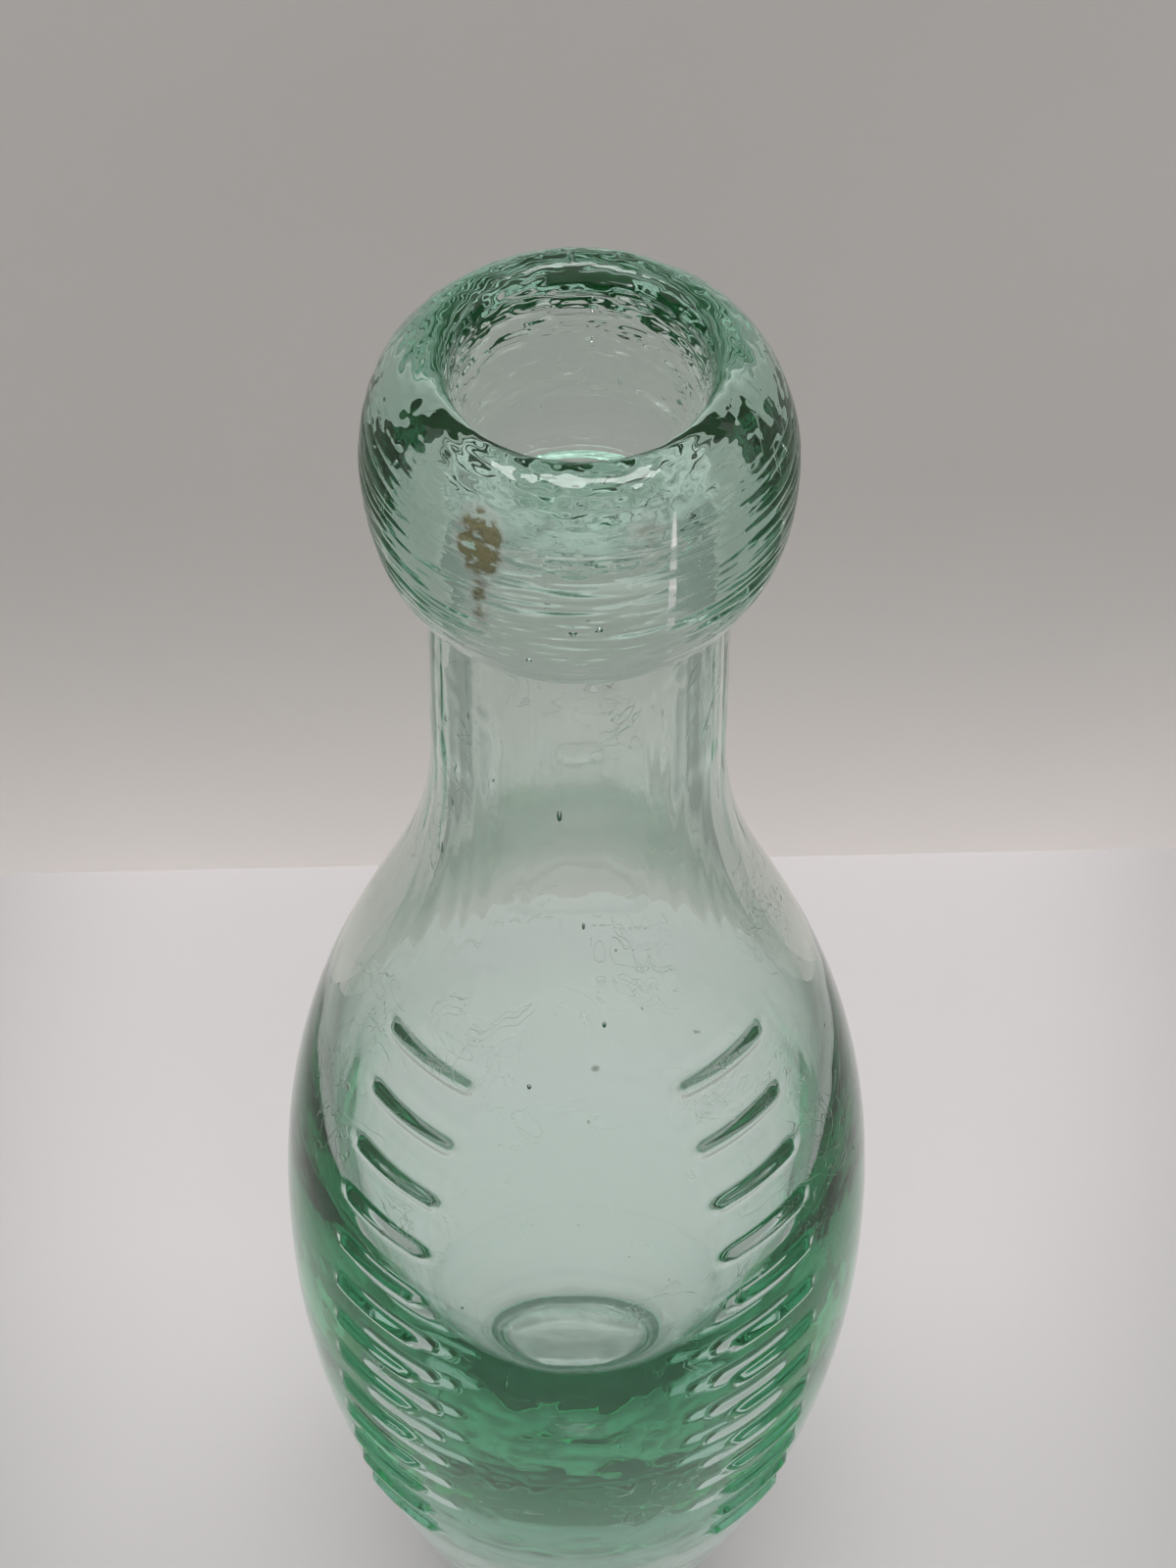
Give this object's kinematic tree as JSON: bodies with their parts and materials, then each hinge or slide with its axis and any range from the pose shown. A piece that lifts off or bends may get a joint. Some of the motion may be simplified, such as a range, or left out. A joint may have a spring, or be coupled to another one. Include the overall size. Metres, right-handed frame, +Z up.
{
  "type": "hamilton bottle",
  "caption": "Slender flat-bottomed aerated-water bottle in aqua glass: tapering barrel with two columns of raised bars, long ogee shoulder, straight neck and a rounded applied lip with an open cork bore.",
  "frame": {"origin": "on the floor, at the bottle's axis", "axes": "+Z up along the bottle's axis, from the base to the mouth; -Y is the side seen in front"},
  "size_m": [0.0644, 0.0644, 0.2232],
  "materials": {
    "body_glass": "hand-blown aqua glass, clear in the walls and dark green in the thick base, with seeds, streaks and fine scratches",
    "lip_glass": "tooled aqua glass with turning lines, wavy inside the bore and green at its thick edges"
  },
  "bodies": {
    "root": {"blown_body": "body_glass", "applied_lip": "lip_glass"}
  },
  "joints": []
}
